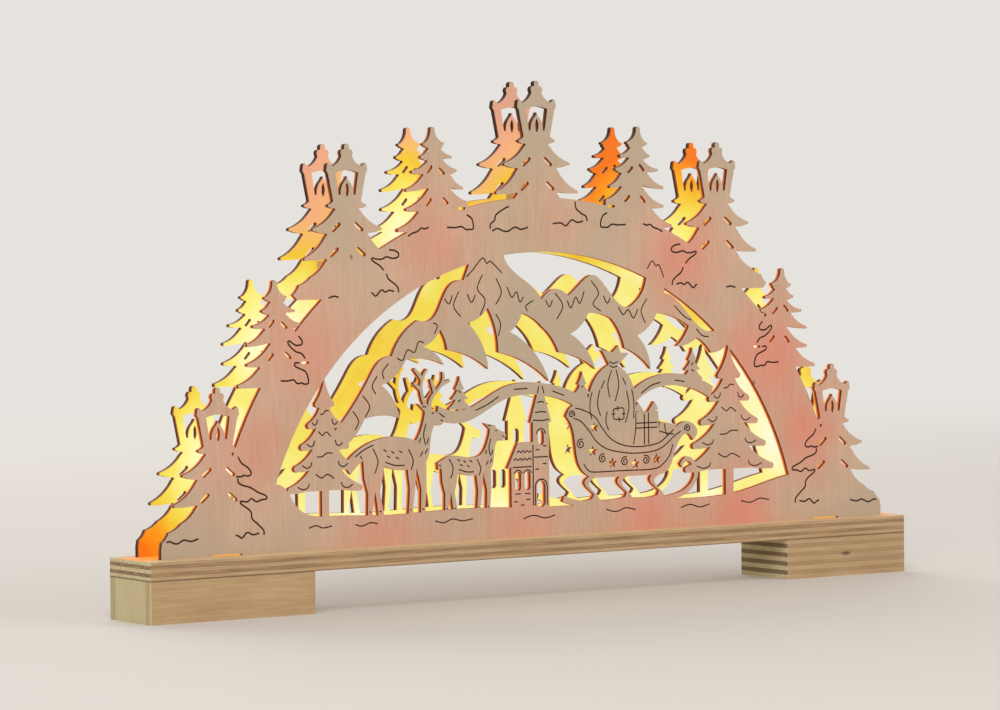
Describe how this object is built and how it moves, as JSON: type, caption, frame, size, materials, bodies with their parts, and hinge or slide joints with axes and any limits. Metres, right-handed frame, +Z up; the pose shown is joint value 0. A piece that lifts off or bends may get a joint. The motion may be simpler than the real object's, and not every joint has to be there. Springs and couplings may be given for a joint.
{
  "type": "candle arch",
  "caption": "Lit wooden candle arch: twin fretted plywood panels with firs and candle lanterns over a winter scene, lamps between them, on a board with block feet.",
  "frame": {"origin": "on the floor under the middle of the base", "axes": "+X to the right as seen from the front, +Y to the back, +Z up"},
  "size_m": [0.45, 0.04, 0.255],
  "materials": {
    "base_wood": "plywood, sanded, bare",
    "front_wood": "plywood sheet, bare, with darker cut edges",
    "back_wood": "plywood sheet, bare, lit by the lamps",
    "spacer_wood": "bare",
    "socket_plastic": "moulded",
    "lens_plastic": "clear, lit warm white",
    "wire_plastic": "insulation",
    "case_plastic": "moulded",
    "slider_plastic": "moulded",
    "cell_metal": "sleeve",
    "contact_metal": "plated strip",
    "screw_metal": "plated"
  },
  "bodies": {
    "base": {"base_board": "base_wood", "left_foot": "base_wood", "right_foot": "base_wood", "front_panel": "front_wood", "back_panel": "back_wood", "spacer_top": "spacer_wood", "spacer_left": "spacer_wood", "spacer_right": "spacer_wood", "lamp_socket_1": "socket_plastic", "lamp_socket_2": "socket_plastic", "lamp_socket_3": "socket_plastic", "lamp_socket_4": "socket_plastic", "lamp_socket_5": "socket_plastic", "lamp_socket_6": "socket_plastic", "lamp_socket_7": "socket_plastic", "lamp_socket_8": "socket_plastic", "lamp_socket_9": "socket_plastic", "lamp_socket_10": "socket_plastic", "lamp_socket_11": "socket_plastic", "lamp_lens_1": "lens_plastic", "lamp_lens_2": "lens_plastic", "lamp_lens_3": "lens_plastic", "lamp_lens_4": "lens_plastic", "lamp_lens_5": "lens_plastic", "lamp_lens_6": "lens_plastic", "lamp_lens_7": "lens_plastic", "lamp_lens_8": "lens_plastic", "lamp_lens_9": "lens_plastic", "lamp_lens_10": "lens_plastic", "lamp_lens_11": "lens_plastic", "lamp_wire": "wire_plastic", "battery_case": "case_plastic", "switch_body": "case_plastic", "cell_1": "cell_metal", "cell_2": "cell_metal", "contact_positive": "contact_metal", "contact_negative": "contact_metal", "contact_bridge": "contact_metal", "foot_screws": "screw_metal"},
    "lid": {"battery_lid": "case_plastic"},
    "slider": {"switch_slider": "slider_plastic"}
  },
  "joints": [
    {"name": "lid_slide", "type": "slide", "parent": "base", "child": "lid", "axis": [1, 0, 0], "range_m": [0, 0.044]},
    {"name": "switch_slide", "type": "slide", "parent": "base", "child": "slider", "axis": [0, 1, 0], "range_m": [0, 0.003]}
  ]
}
